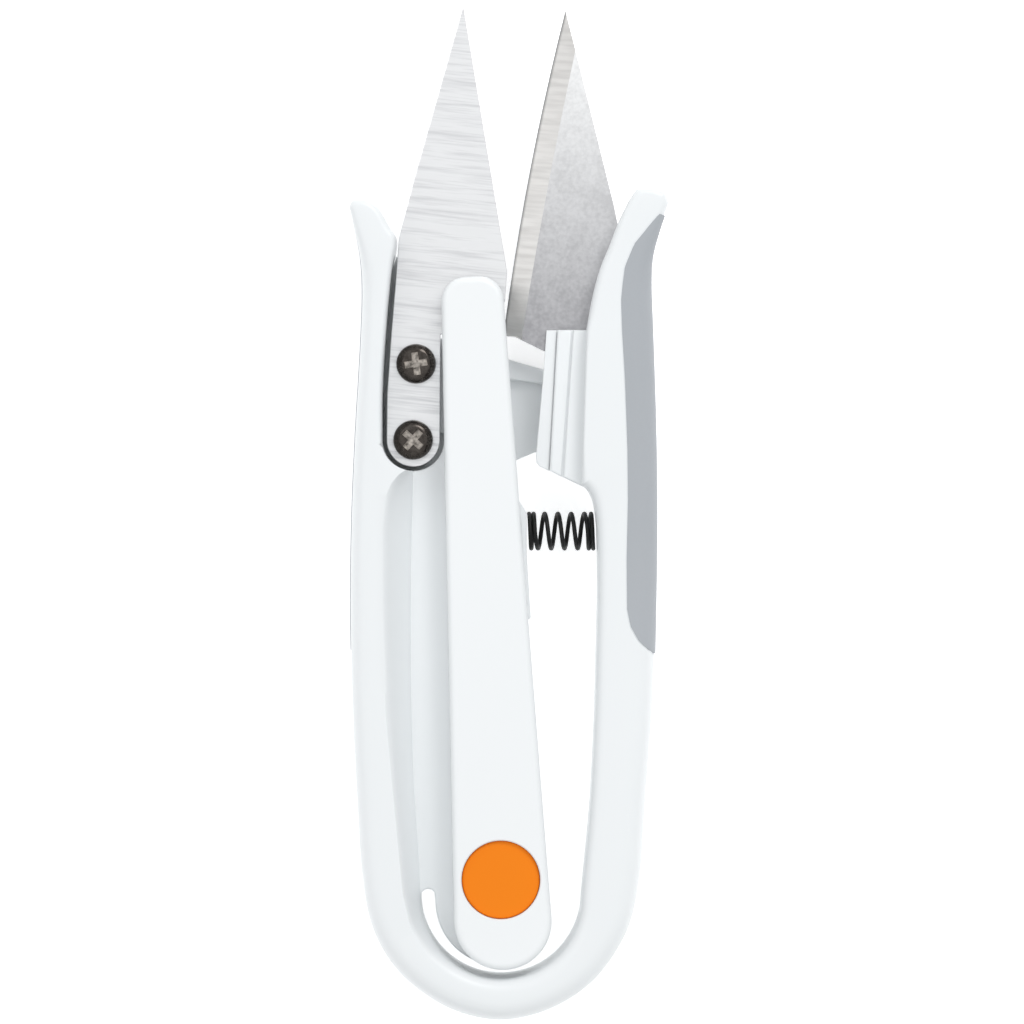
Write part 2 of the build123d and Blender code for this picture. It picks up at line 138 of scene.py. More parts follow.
def inward_normals(outline):
    """Unit inward directions of an anticlockwise outline, lengthened at corners."""
    points = np.array(outline)
    before = points - np.roll(points, 1, axis=0)
    after = np.roll(points, -1, axis=0) - points
    before /= np.linalg.norm(before, axis=1)[:, None]
    after /= np.linalg.norm(after, axis=1)[:, None]
    turn = before + after
    turn /= np.linalg.norm(turn, axis=1)[:, None]
    stretch = 1.0 / np.clip(np.sum(turn * after, axis=1), 0.5, 1.0)
    return np.stack([-turn[:, 1], turn[:, 0]], axis=1) * stretch[:, None]


# ---- mesh helpers ---------------------------------------------------------------------------------

def new_object(name, verts, faces, material, angle=32.0):
    """A mesh object from millimetre coordinates, smooth except at its sharp edges."""
    mesh = bpy.data.meshes.new(name)
    mesh.from_pydata([tuple(c * MM for c in v) for v in verts], [], faces)
    bm = bmesh.new()
    bm.from_mesh(mesh)
    bmesh.ops.remove_doubles(bm, verts=bm.verts, dist=1e-7)
    bmesh.ops.recalc_face_normals(bm, faces=bm.faces)
    bm.to_mesh(mesh)
    bm.free()
    mesh.shade_smooth()
    mesh.set_sharp_from_angle(angle=radians(angle))
    mesh.materials.append(material)
    obj = bpy.data.objects.new(name, mesh)
    bpy.context.scene.collection.objects.link(obj)
    return obj


def skin_rings(name, rings, material, angle=32.0, flat_caps=False):
    """Joins closed rings of equal length in order and caps both ends."""
    count = len(rings[0])
    verts = [tuple(p) for ring in rings for p in ring]
    faces = []
    for level in range(len(rings) - 1):
        for i in range(count):
            j = (i + 1) % count
            low, high = level * count, (level + 1) * count
            faces.append((low + i, low + j, high + j, high + i))
    for first in (0, (len(rings) - 1) * count):
        if flat_caps:
            flat = [Vector(p[:2]) for p in verts[first:first + count]]
            triangles = delaunay_2d_cdt(flat, [], [tuple(range(count))], 1, 1e-5)
            points, sources = triangles[0], triangles[3]
            place = []
            for point, source in zip(points, sources):
                if source:
                    place.append(first + source[0])
                else:
                    place.append(len(verts))
                    verts.append((point.x, point.y, verts[first][2]))
            faces += [tuple(place[i] for i in face) for face in triangles[2]]
        else:
            faces.append(tuple(first + i for i in range(count)))
    return new_object(name, verts, faces, material, angle)


def rounded_prism(name, outline, back, front, material, front_round=0.35, back_round=0.35):
    """A plate of this outline between two heights with rounded rims."""
    points = np.array(outline)
    inward = inward_normals(outline)
    quarter = [radians(angle) for angle in (0, 30, 60, 90)]
    levels = [(back + back_round * (1 - sin(a)), back_round * (1 - cos(a)))
              for a in reversed(quarter)]
    levels += [(front - front_round * (1 - sin(a)), front_round * (1 - cos(a))) for a in quarter]
    rings = [np.c_[points + inward * inset, np.full(len(points), height)]
             for height, inset in levels]
    return skin_rings(name, rings, material)


def cut(obj, cutters):
    """Takes the cutter objects out of obj and deletes them."""
    for cutter in cutters:
        modifier = obj.modifiers.new("cut", "BOOLEAN")
        modifier.operation = "DIFFERENCE"
        modifier.solver = "EXACT"
        modifier.object = cutter
    depsgraph = bpy.context.evaluated_depsgraph_get()
    mesh = bpy.data.meshes.new_from_object(obj.evaluated_get(depsgraph))
    obj.modifiers.clear()
    obj.data = mesh
    mesh.shade_smooth()
    mesh.set_sharp_from_angle(angle=radians(32))
    for cutter in cutters:
        bpy.data.objects.remove(cutter)


# ---- materials ------------------------------------------------------------------------------------

def new_material(name, color, roughness, metallic=0.0):
    """A principled material; returns it with its nodes, links and shader."""
    material = bpy.data.materials.new(name)
    material.use_nodes = True
    nodes = material.node_tree.nodes
    shader = nodes["Principled BSDF"]
    shader.inputs["Base Color"].default_value = (*color, 1.0)
    shader.inputs["Roughness"].default_value = roughness
    shader.inputs["Metallic"].default_value = metallic
    return material, nodes, material.node_tree.links, shader


def object_noise(nodes, links, scale, stretch=(1.0, 1.0, 1.0), detail=3.0, turn=0.0):
    """Noise in object coordinates, stretched and turned about Z."""
    coordinates = nodes.new("ShaderNodeTexCoord")
    mapping = nodes.new("ShaderNodeMapping")
    mapping.vector_type = "POINT"
    mapping.inputs["Scale"].default_value = stretch
    noise = nodes.new("ShaderNodeTexNoise")
    noise.inputs["Scale"].default_value = scale
    noise.inputs["Detail"].default_value = detail
    if turn:
        turning = nodes.new("ShaderNodeMapping")
        turning.inputs["Rotation"].default_value = (0.0, 0.0, turn)
        links.new(coordinates.outputs["Object"], turning.inputs["Vector"])
        links.new(turning.outputs["Vector"], mapping.inputs["Vector"])
    else:
        links.new(coordinates.outputs["Object"], mapping.inputs["Vector"])
    links.new(mapping.outputs["Vector"], noise.inputs["Vector"])
    return noise.outputs["Fac"]


def map_range(nodes, links, value, low, high, to_low, to_high):
    """Scales a value from one range to another."""
    node = nodes.new("ShaderNodeMapRange")
    limits = (("From Min", low), ("From Max", high), ("To Min", to_low), ("To Max", to_high))
    for name, number in limits:
        node.inputs[name].default_value = number
    links.new(value, node.inputs["Value"])
    return node.outputs["Result"]


def tint(nodes, links, value, dark, light):
    """Mixes two colours by a value."""
    ramp = nodes.new("ShaderNodeValToRGB")
    ramp.color_ramp.elements[0].color = (*dark, 1.0)
    ramp.color_ramp.elements[1].color = (*light, 1.0)
    links.new(value, ramp.inputs["Fac"])
    return ramp.outputs["Color"]


def mix_noises(nodes, links, first, second, share):
    """A mix of two noise values, with this share of the first."""
    mixed = nodes.new("ShaderNodeMath")
    mixed.operation = "MULTIPLY_ADD"
    mixed.inputs[1].default_value = share
    links.new(first, mixed.inputs[0])
    links.new(map_range(nodes, links, second, 0.0, 1.0, 0.0, 1.0 - share), mixed.inputs[2])
    return mixed.outputs["Value"]


def colour_along(nodes, links, shader, axis, start, end):
    """A mix that feeds the base colour, from its A to its B along an object axis in metres."""
    coordinates = nodes.new("ShaderNodeTexCoord")
    split = nodes.new("ShaderNodeSeparateXYZ")
    links.new(coordinates.outputs["Object"], split.inputs["Vector"])
    mix = nodes.new("ShaderNodeMix")
    mix.data_type = "RGBA"
    factor = map_range(nodes, links, split.outputs[axis], start, end, 0.0, 1.0)
    links.new(factor, mix.inputs["Factor"])
    links.new(mix.outputs["Result"], shader.inputs["Base Color"])
    return mix


def bump(nodes, links, shader, height, strength, distance):
    """Adds bump from a height value."""
    node = nodes.new("ShaderNodeBump")
    node.inputs["Strength"].default_value = strength
    node.inputs["Distance"].default_value = distance
    links.new(height, node.inputs["Height"])
    links.new(node.outputs["Normal"], shader.inputs["Normal"])


def moulded_plastic(name, dark, light, roughness):
    """Satin moulded plastic with a fine spark-eroded skin and slight flow marks."""
    material, nodes, links, shader = new_material(name, light, roughness)
    flow = object_noise(nodes, links, 28.0, (1.0, 0.25, 1.0), 2.0)
    links.new(tint(nodes, links, map_range(nodes, links, flow, 0.3, 0.7, 0.0, 1.0), dark, light),
              shader.inputs["Base Color"])
    grain = object_noise(nodes, links, 5200.0, detail=2.0)
    links.new(map_range(nodes, links, flow, 0.25, 0.75, roughness - 0.05, roughness + 0.06),
              shader.inputs["Roughness"])
    bump(nodes, links, shader, grain, 0.16, 0.00002)
    return material


def soft_rubber(name, dark, light):
    """Matt overmoulded rubber with a fine pebbled skin."""
    material, nodes, links, shader = new_material(name, light, 0.7)
    patches = object_noise(nodes, links, 60.0, (1.0, 0.4, 1.0), 3.0)
    links.new(tint(nodes, links, map_range(nodes, links, patches, 0.3, 0.7, 0.0, 1.0), dark, light),
              shader.inputs["Base Color"])
    pebbles = object_noise(nodes, links, 3800.0, detail=2.0)
    links.new(map_range(nodes, links, pebbles, 0.3, 0.7, 0.62, 0.78), shader.inputs["Roughness"])
    bump(nodes, links, shader, pebbles, 0.35, 0.00004)
    return material


def ground_steel(name, dark, light):
    """Steel with grinding lines across the blade, broken up along their length."""
    material, nodes, links, shader = new_material(name, light, 0.34, 1.0)
    fine = object_noise(nodes, links, 3600.0, (0.05, 1.0, 0.2), 3.0, GRIND_TILT)
    broad = object_noise(nodes, links, 1100.0, (0.06, 1.0, 0.2), 3.0, GRIND_TILT)
    value = mix_noises(nodes, links, broad, fine, 0.5)
    links.new(tint(nodes, links, map_range(nodes, links, value, 0.36, 0.54, 0.0, 1.0), dark, light),
              shader.inputs["Base Color"])
    links.new(map_range(nodes, links, value, 0.35, 0.6, 0.46, 0.3), shader.inputs["Roughness"])
    bump(nodes, links, shader, fine, 0.35, 0.00002)
    return material


def blasted_steel(name, dark, light, painted_reflection_dark, painted_reflection_light):
    """Bead-blasted steel: a grey speckle with cloudy patches, and a darker reflection painted towards
    the tang.
    """
    material, nodes, links, shader = new_material(name, light, 0.5, 1.0)
    speckle = object_noise(nodes, links, 2100.0, detail=4.0)
    cloud = object_noise(nodes, links, 420.0, detail=5.0)
    value = mix_noises(nodes, links, speckle, cloud, 0.55)
    grain = map_range(nodes, links, value, 0.38, 0.62, 0.0, 1.0)
    # Painted reflection: the colour darkens below Y 52 mm and is fully dark below 20 mm, towards the
    # tang.
    mix = colour_along(nodes, links, shader, "Y", 0.020, 0.052)
    links.new(tint(nodes, links, grain, painted_reflection_dark, painted_reflection_light), mix.inputs["A"])
    links.new(tint(nodes, links, grain, dark, light), mix.inputs["B"])
    links.new(map_range(nodes, links, value, 0.35, 0.65, 0.56, 0.44), shader.inputs["Roughness"])
    bump(nodes, links, shader, speckle, 0.25, 0.00002)
    return material


def bevel_steel(name, dark, light, edge):
    """Ground bevel, with a thin dark line of painted shade along the cutting edge."""
    material, nodes, links, shader = new_material(name, light, 0.36, 1.0)
    lines = object_noise(nodes, links, 1800.0, (0.06, 1.0, 0.2), 3.0, GRIND_TILT)
    # Painted shade: the edge colour below Z 7.22 mm, blending into the ground colour by 7.36 mm.
    mix = colour_along(nodes, links, shader, "Z", 0.00722, 0.00736)
    mix.inputs["A"].default_value = (*edge, 1.0)
    links.new(tint(nodes, links, map_range(nodes, links, lines, 0.35, 0.6, 0.0, 1.0), dark, light),
              mix.inputs["B"])
    links.new(map_range(nodes, links, lines, 0.35, 0.65, 0.42, 0.32), shader.inputs["Roughness"])
    return material


def plated_metal(name, dark, light, roughness):
    """Small plated hardware with faint handling marks; the lighter patches of the screws' cross recesses
    are painted glints.
    """
    material, nodes, links, shader = new_material(name, light, roughness, 1.0)
    marks = object_noise(nodes, links, 1900.0, detail=3.0)
    links.new(tint(nodes, links, map_range(nodes, links, marks, 0.3, 0.7, 0.0, 1.0), dark, light),
              shader.inputs["Base Color"])
    links.new(map_range(nodes, links, marks, 0.3, 0.7, roughness - 0.04, roughness + 0.05),
              shader.inputs["Roughness"])
    bump(nodes, links, shader, marks, 0.06, 0.00002)
    return material


def coated_wire(name, dark, light):
    """Black oiled spring wire."""
    material, nodes, links, shader = new_material(name, dark, 0.5)
    shader.inputs["Specular IOR Level"].default_value = 0.3
    marks = object_noise(nodes, links, 2400.0, detail=3.0)
    links.new(tint(nodes, links, map_range(nodes, links, marks, 0.3, 0.7, 0.0, 1.0), dark, light),
              shader.inputs["Base Color"])
    links.new(map_range(nodes, links, marks, 0.3, 0.7, 0.4, 0.6), shader.inputs["Roughness"])
    return material


WHITE = moulded_plastic("white_plastic", (0.835, 0.855, 0.865), (0.865, 0.885, 0.892), 0.38)
LEVER_WHITE = moulded_plastic("lever_plastic", (0.86, 0.878, 0.886), (0.885, 0.901, 0.907), 0.38)
ORANGE = moulded_plastic("orange_plastic", (0.88, 0.215, 0.001), (0.92, 0.235, 0.003), 0.5)
ORANGE.node_tree.nodes["Principled BSDF"].inputs["Specular IOR Level"].default_value = 0.2
RUBBER = soft_rubber("grip_rubber", (0.40, 0.42, 0.445), (0.43, 0.45, 0.475))
GROUND = ground_steel("ground_steel", (0.66, 0.66, 0.67), (0.84, 0.84, 0.845))
# The second pair of colours is the painted darker reflection towards the tang.
BLASTED = blasted_steel("blasted_steel", (0.75, 0.75, 0.75), (0.86, 0.86, 0.86),
                        (0.35, 0.345, 0.36), (0.44, 0.435, 0.45))
# The last colour is the painted shade line along the cutting edge.
BEVEL = bevel_steel("bevel_steel", (0.635, 0.62, 0.603), (0.70, 0.684, 0.667),
                    (0.30, 0.30, 0.30))
SCREW = plated_metal("screw_metal", (0.045, 0.038, 0.034), (0.09, 0.08, 0.072), 0.26)
# Painted glints: the cross recesses' light patches stand in for highlights in the recess.
SCREW_CROSS_GLINTS = plated_metal("screw_cross_painted_glints", (0.05, 0.044, 0.038), (0.66, 0.6, 0.54), 0.3)
PIN = plated_metal("pin_steel", (0.45, 0.45, 0.46), (0.65, 0.65, 0.66), 0.32)
BLACK = coated_wire("spring_black", (0.002, 0.002, 0.002), (0.008, 0.008, 0.008))

NODE_MATERIALS = {
    "left_handle": WHITE,
    "right_handle": WHITE,
    "lever": LEVER_WHITE,
    "left_grip": RUBBER,
    "right_grip": RUBBER,
    "left_blade": GROUND,
    "right_blade": BLASTED,
    "left_blade_screws": SCREW,
    "right_blade_screws": SCREW,
    "pivot_pin": PIN,
    "pivot_washer": PIN,
    "pivot_cap": ORANGE,
    "return_spring": BLACK,
}
for node_name, node_material in NODE_MATERIALS.items():
    node_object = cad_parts[node_name]
    node_object.data.materials.clear()
    node_object.data.materials.append(node_material)


def finish_faces(node_name, material, chosen):
    """Gives the chosen faces of a CAD node a second material."""
    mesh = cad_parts[node_name].data
    mesh.materials.append(material)
    for polygon in mesh.polygons:
        if chosen(polygon):
            polygon.material_index = 1


def is_cross(polygon):
    """Whether a screw's face belongs to its cross recess or its floor."""
    x, y, z = (c / MM for c in polygon.center)
    places = LEFT_SCREWS + RIGHT_SCREWS
    place = min(places, key=lambda place: (place[0] - x) ** 2 + (place[1] - y) ** 2)
    height = z - PLATE_FRONT if place in LEFT_SCREWS else SCREW_SEAT - z
    inside = (place[0] - x) ** 2 + (place[1] - y) ** 2 < CROSS_REACH ** 2
    floor = abs(polygon.normal.z) > 0.99 and CROSS_FLOOR[0] < height < CROSS_FLOOR[1]
    wall = abs(polygon.normal.z) < 0.01 and CROSS_WALL[0] < height < CROSS_WALL[1]
    return inside and (floor or wall)


def is_bevel(polygon):
    """Whether a blade's face slopes, as its bevel does."""
    return 0.3 < polygon.normal.z < 0.97


finish_faces("right_blade", BEVEL, is_bevel)
# The screws' cross recesses take the painted-glint material.
finish_faces("left_blade_screws", SCREW_CROSS_GLINTS, is_cross)
finish_faces("right_blade_screws", SCREW_CROSS_GLINTS, is_cross)


# ---- handle band: both limbs and the bow, one moulding --------------------------------------------

def band_outline():
    """Anticlockwise outline of the U with the rim radius of each stretch."""
    stretches = [
        (smooth([(-18.75, 35.9), (-18.15, 33.4), (-17.55, 30.0), (-17.35, 26.0), (-17.6, 19.0),
                 (-18.15, 9.7), (-18.6, -1.0), (-18.72, -11.7), (-18.5, -23.0), (-17.95, -34.2),
                 (-17.35, -43.0), (-16.3, -48.6), (-14.2, -52.8), (-11.3, -55.9), (-6.6, -58.8),
                 (-1.0, -60.0), (4.7, -58.8), (9.6, -55.8), (12.6, -52.2), (14.5, -48.4),
                 (15.6, -43.0), (16.25, -34.2), (17.1, -22.3), (17.45, -10.0), (17.55, 1.4),
                 (17.4, 10.9), (17.05, 21.6), (16.87, 27.0), (17.0, 30.0), (17.55, 32.5),
                 (18.3, 34.8), (18.8, 36.3)]), 2.0),
        (smooth([(18.8, 36.3), (18.5, 37.4), (17.4, 38.0), (16.2, 38.1), (15.1, 37.9)], 0.3), 0.9),
        (smooth([(15.1, 37.9), (14.35, 36.9), (12.87, 33.9), (11.74, 31.0), (10.8, 28.7),
                 (9.84, 25.1), (9.2, 21.5)]), 1.1),
        (straight((9.2, 21.5), (8.6, 3.2)), 0.35),
        (smooth([(8.6, 3.2), (9.25, 2.75), (9.9, 1.5), (10.35, -0.8), (10.5, -4.0), (10.5, -10.0),
                 (10.35, -16.4), (10.15, -24.0), (9.65, -34.2), (9.1, -40.4), (8.6, -45.6)]), 1.3),
        (arc(BOW_CENTRE, BOW_RADIUS, 0, -180), 1.3),
        (smooth([(-10.4, -45.6), (-10.72, -40.0), (-11.25, -32.0), (-11.6, -18.0), (-11.55, -6.0),
                 (-11.3, 4.85)]), 0.5),
        (arc(TANG_CENTRE, RECESS_RADIUS, -90, -180), 0.3),
        (smooth([(-14.95, 8.5), (-14.93, 14.0), (-14.4, 23.0), (-13.75, 29.3), (-13.3, 31.6),
                 (-13.3, 32.5)]), 0.5),
        (smooth([(-13.3, 32.5), (-13.95, 33.5), (-15.25, 35.65), (-16.3, 36.5), (-17.4, 36.78),
                 (-18.3, 36.6), (-18.75, 35.9)], 0.3), 0.9),
    ]
    outline, rims = [], []
    for points, rim in stretches:
        outline += points
        rims += [rim] * len(points)
    flare = np.interp([y for _, y in outline], (27.0, 35.0), (2.0, 0.8))
    rims = np.minimum(rims, flare)
    window = np.hanning(13)[1:-1]
    wrapped = np.r_[rims[-5:], rims, rims[:5]]
    return outline, np.convolve(wrapped, window / window.sum(), "valid")


def crown(height):
    """How far the outer flank falls back from its middle at this height."""
    return 0.3 * (2.0 * height / THICKNESS - 1.0) ** 2


def crown_share(rim):
    """How much of the crown a stretch with this rim radius has."""
    return np.clip((rim - 1.2) / 0.8, 0.0, 1.0)


def slope_top(y):
    """Where the wall that falls from the fixed limb to its plate meets the front face."""
    return np.interp(
        y,
        (-54.6, -51.8, -48.5, -45.0, -34.0, -24.0, -11.0, -2.0, 1.5, 3.4, 4.6, 5.4),
        (-5.4, -9.9, -11.5, -12.3, -13.35, -14.25, -14.75, -14.8, -14.4, -13.6, -12.6, -11.0),
    )


def build_band():
    """The band's rings from back to front; the fixed limb's inner wall leans back."""
    outline, rims = band_outline()
    points = np.array(outline)
    inward = inward_normals(outline)
    x, y = points[:, 0], points[:, 1]
    below_bow = np.minimum(y - BOW_CENTRE[1], 0.0)
    from_bow = np.hypot(x - BOW_CENTRE[0], below_bow)
    inner_left = (x < -2.0) & (x > -14.96) & (y < TANG_CENTRE[1]) & (from_bow < 14.0)
    inner_left &= ~((below_bow < 0.0) & (from_bow > BOW_RADIUS + 1.0))
    fade = np.clip((y + 54.8) / 9.0, 0.0, 1.0)
    lean = np.where(inner_left, fade * fade * (3 - 2 * fade), 0.0)
    run = np.where(inner_left, np.maximum(x - slope_top(y), 0.0), 0.0)
    outer = crown_share(rims)
    rings = []

    def add_ring(ring, height):
        """One ring, its outer flank set back by the crown."""
        fall = outer * crown(height)
        rings.append(np.c_[ring + inward * fall[:, None], height])

    for angle in (90, 67, 45, 22, 0):
        a = radians(angle)
        add_ring(points + inward * (rims * (1 - cos(a)))[:, None], rims * (1 - sin(a)))
    for height in (4.5, PLATE_FRONT):
        add_ring(points, np.full(len(points), height))
    lean_steps = ((0.12, 0.12), (0.38, 0.36), (0.64, 0.6), (0.86, 0.82), (0.965, 0.94), (1.0, 1.06))
    for (rise, share), angle in zip(lean_steps, (0, 18, 36, 54, 72, 90)):
        a = radians(angle)
        round_ring = points + inward * (rims * (1 - cos(a)))[:, None]
        round_height = THICKNESS - rims * (1 - sin(a))
        lean_ring = points - np.c_[run * share, np.zeros(len(points))]
        lean_height = PLATE_FRONT + (THICKNESS - PLATE_FRONT) * rise
        ring = round_ring * (1 - lean)[:, None] + lean_ring * lean[:, None]
        add_ring(ring, round_height * (1 - lean) + lean_height * lean)
    return skin_rings("handle_band", rings, WHITE, 40.0, flat_caps=True)


band = build_band()


# ---- fixed half: plate, tongue and blade recess ---------------------------------------------------

RIGHT_EDGE = (
    straight((4.76, -48.2), (4.3, -42.0))
    + straight((4.3, -42.0), (1.3, -13.4))
    + [(1.3, -13.4), (2.67, -12.6), (2.15, -4.6), (2.15, -0.1), (1.84, 0.44), (1.07, 1.63)]
)
TONGUE_END = (
    arc((-9.53, -45.6), 0.87, 180, 0)
    + arc((-1.0, -46.2), 7.66, 180, 270)
    + arc((-0.9, -48.2), 5.66, -90, 0)
)
POCKET_LEFT = -8.7


def build_prisms(rows):
    """White prisms from rows of name, outline, back, front, front rim and back rim."""
    return [
        rounded_prism(name, outline, back, front, WHITE, front_round, back_round)
        for name, outline, back, front, front_round, back_round in rows
    ]


def tang_pad_outline(right, top):
    """What the tang lies on, cut off at this X on its right."""
    turn = -np.degrees(np.arccos((right - TANG_CENTRE[0]) / TANG_RADIUS))
    corner = (right, TANG_CENTRE[1] + TANG_RADIUS * sin(radians(turn)))
    left = smooth([(-12.9, 30.5), (-13.3, 25.0), (-14.0, 17.0), (-14.42, 8.5)])
    bottom = arc(TANG_CENTRE, TANG_RADIUS, -180, turn)
    return left + bottom + straight(corner, (right, top)) + [(right, top)]


def build_plate():
    """The plate and its back web, and the pad under the tang with a deep gap round it."""
    left_edge = straight((-13.5, 4.6), (-13.2, -40.0)) + [(-12.6, -45.3)]
    lower = TONGUE_END + RIGHT_EDGE
    turn = -np.degrees(np.arccos((POCKET_LEFT - TANG_CENTRE[0]) / RECESS_RADIUS))
    recess_end = [(TANG_CENTRE[0], TANG_CENTRE[1] - RECESS_RADIUS)]
    back = (
        arc(TANG_CENTRE, RECESS_RADIUS, turn, -90)
        + recess_end
        + left_edge
        + lower
        + [(POCKET_LEFT, 2.7)]
    )
    front = (
        straight((-7.65, 20.0), (-7.65, 8.5))
        + arc(TANG_CENTRE, RECESS_RADIUS, 0, -90)
        + recess_end
        + left_edge
        + lower
        + [(-5.5, 2.7), (-5.5, 20.0)]
    )
    web = [(-13.4, 30.6), (-14.6, 26.0), (-15.5, 16.0), (-15.5, 4.0), (-9.0, 4.0), (-9.0, 23.5)]
    shelf = [(-9.4, 4.6), (-7.4, 4.6), (-7.4, 9.4), (-9.4, 9.4)]
    ledge = [(-9.0, 9.4), (-7.4, 9.4), (-7.4, 20.6), (-9.0, 20.6)]
    block, pad = tang_pad_outline(POCKET_LEFT, 23.0), tang_pad_outline(-8.2, 21.0)
    middle = GUIDE_POCKET_TOP - 0.05
    return build_prisms((
        ("plate_back", back, PLATE_BACK, GUIDE_POCKET_TOP, SEAM, 0.3),
        ("plate_front", front, middle, PLATE_FRONT, 0.25, SEAM),
        ("recess_web", web, PLATE_BACK, PLATE_BACK + 0.4, SEAM, SEAM),
        ("tang_block", block, PLATE_BACK + 0.02, GUIDE_POCKET_TOP, SEAM, SEAM),
        ("tang_pad", pad, middle, RECESS_FLOOR, SEAM, SEAM),
        ("recess_shelf", shelf, middle, middle + 0.3, SEAM, SEAM),
        ("recess_ledge", ledge, middle, RECESS_FLOOR - 0.15, SEAM, SEAM),
    ))


plate_pieces = build_plate()


# ---- fixed blade ----------------------------------------------------------------------------------

BLADE_BACK = 5.6
BLADE_TANG_RADIUS = 3.15
EDGE_LAND = 0.15
BLADE_RIM = 0.09


def blade_outline(tip, heel, inner):
    """Anticlockwise outline of the fixed blade through its tip, heel and inner corner."""
    shoulder, spine, tang_top = (-11.2, 39.4), (-13.0, 32.4), (-8.05, 21.0)

    def divide(start, end, steps):
        """The points that divide a straight run evenly, without its end."""
        return [tuple(p) for p in np.linspace(start, end, steps, endpoint=False)]

    outline = divide(tip, shoulder, 20) + divide(shoulder, spine, 8)
    outline += smooth([spine, (-13.4, 27.0), (-13.9, 21.0), (-14.38, 14.0)], 1.0)
    outline += straight((-14.38, 14.0), (-14.45, 8.5))
    outline += arc(TANG_CENTRE, BLADE_TANG_RADIUS, -180, 0) + straight((-8.15, 8.5), tang_top)
    outline += divide(tang_top, inner, 8) + divide(inner, heel, 4) + divide(heel, tip, 30)
    return np.array(outline)


def build_left_blade():
    """The fixed blade: flat ground front with broken rims and a bevel on its back."""
    edge = blade_outline((-5.35, 60.0), (-0.15, 28.6), (-0.4, 24.9))
    back = blade_outline((-6.88, 54.6), (-2.65, 28.4), (-2.7, 23.73))
    inward = inward_normals(edge)
    levels = (
        (back, BLADE_BACK),
        (edge, PLATE_FRONT - EDGE_LAND),
        (edge, PLATE_FRONT - BLADE_RIM),
        (edge + inward * BLADE_RIM * 0.3, PLATE_FRONT - BLADE_RIM * 0.3),
        (edge + inward * BLADE_RIM, PLATE_FRONT),
    )
    rings = [np.c_[ring, np.full(len(ring), height)] for ring, height in levels]
    return skin_rings("left_blade_ground", rings, GROUND, 15.0, flat_caps=True)


left_blade = build_left_blade()


# ---- moving arm: stepped tab, web and guide -------------------------------------------------------

def build_arm_pieces():
    """The tab's three steps with a groove before each riser, the web and the guide."""
    right = [(8.7, 3.0), (9.4, 3.0), (9.8, 21.46)]
    edge = [(4.49, 21.46), (4.07, 15.6), (3.25, 6.6), (3.3, 5.9), (3.65, 5.4)]
    ribs = (((5.85, 21.46), (4.9, 4.83)), ((7.65, 21.46), (6.44, 4.1)))
    grooves = [[(x - RIB_GROOVE, y) for x, y in rib] for rib in ribs]
    web = [(4.75, 18.5), (4.35, 15.0), (3.6, 7.0), (3.9, 5.9), (5.1, 5.2), (8.7, 3.4), (9.6, 3.4),
           (9.6, 18.5)]
    guide = [(-0.5, 18.35), (-0.5, 5.55), (3.4, 7.2), (9.6, 7.2), (9.6, 16.85), (4.6, 16.85)]
    lip = [(-0.5, 18.35), (-0.5, 15.9), (5.5, 15.0), (5.5, 16.85), (4.6, 16.85)]
    floors = [top - RIB_DEPTH for top in STEP_TOPS]
    sunk = [floor - SEAM for floor in floors]
    return build_prisms((
        ("tab_base", edge + [(4.9, 4.83)] + right, BLADE_SLOT_FRONT, floors[0], SEAM, 0.05),
        ("tab_ledge", list(ribs[0]) + right, sunk[0], floors[1], SEAM, SEAM),
        ("tab_first", edge + grooves[0][::-1], sunk[0], STEP_TOPS[0], 0.12, SEAM),
        ("tab_second", list(ribs[0]) + grooves[1][::-1], sunk[0], STEP_TOPS[1], 0.3, SEAM),
        ("tab_third", list(ribs[1]) + right, sunk[1], STEP_TOPS[2], 0.3, SEAM),
        ("tab_web", web, 1.0, BLADE_SLOT_FRONT, 0.05, 0.3),
        ("guide", guide, 1.0, 2.4, 0.15, 0.2),
        ("guide_lip", lip, 1.0, 4.0, 0.3, 0.2),
    ))


arm_pieces = build_arm_pieces()


def bore_for_screws():
    """Lets the moving blade's screw heads into the back of the arm."""
    for target in [band] + [piece for piece in arm_pieces if piece.name in ("tab_web", "guide")]:
        cutters = []
        for x, y in RIGHT_SCREWS:
            outline = arc((x, y), SCREW_BORE_RADIUS, 0, 360, 0.4)
            cutters.append(rounded_prism("bore", outline, -1.0, SCREW_SEAT, WHITE, 0.05, 0.05))
        cut(target, cutters)


bore_for_screws()


# ---- soft grips -----------------------------------------------------------------------------------

GRIP_DEPTH = 0.7
GRIP_START = 3.0
GRIP_ENDS = (-16.7, 35.3)
LEFT_GRIP_SHIFT = 0.9
GRIP_EDGE_Y = (-16.75, -15.9, -15.2, -13.5, -11.5, -5.7, 1.4, 7.3, 15.6, 21.6, 25.1, 28.7, 31.0, 33.4,
               35.45)
GRIP_EDGE_X = (17.4, 16.3, 15.6, 14.65, 14.25, 14.2, 14.35, 14.3, 14.0, 13.65, 13.55, 13.9, 14.85,
               16.6, 18.25)


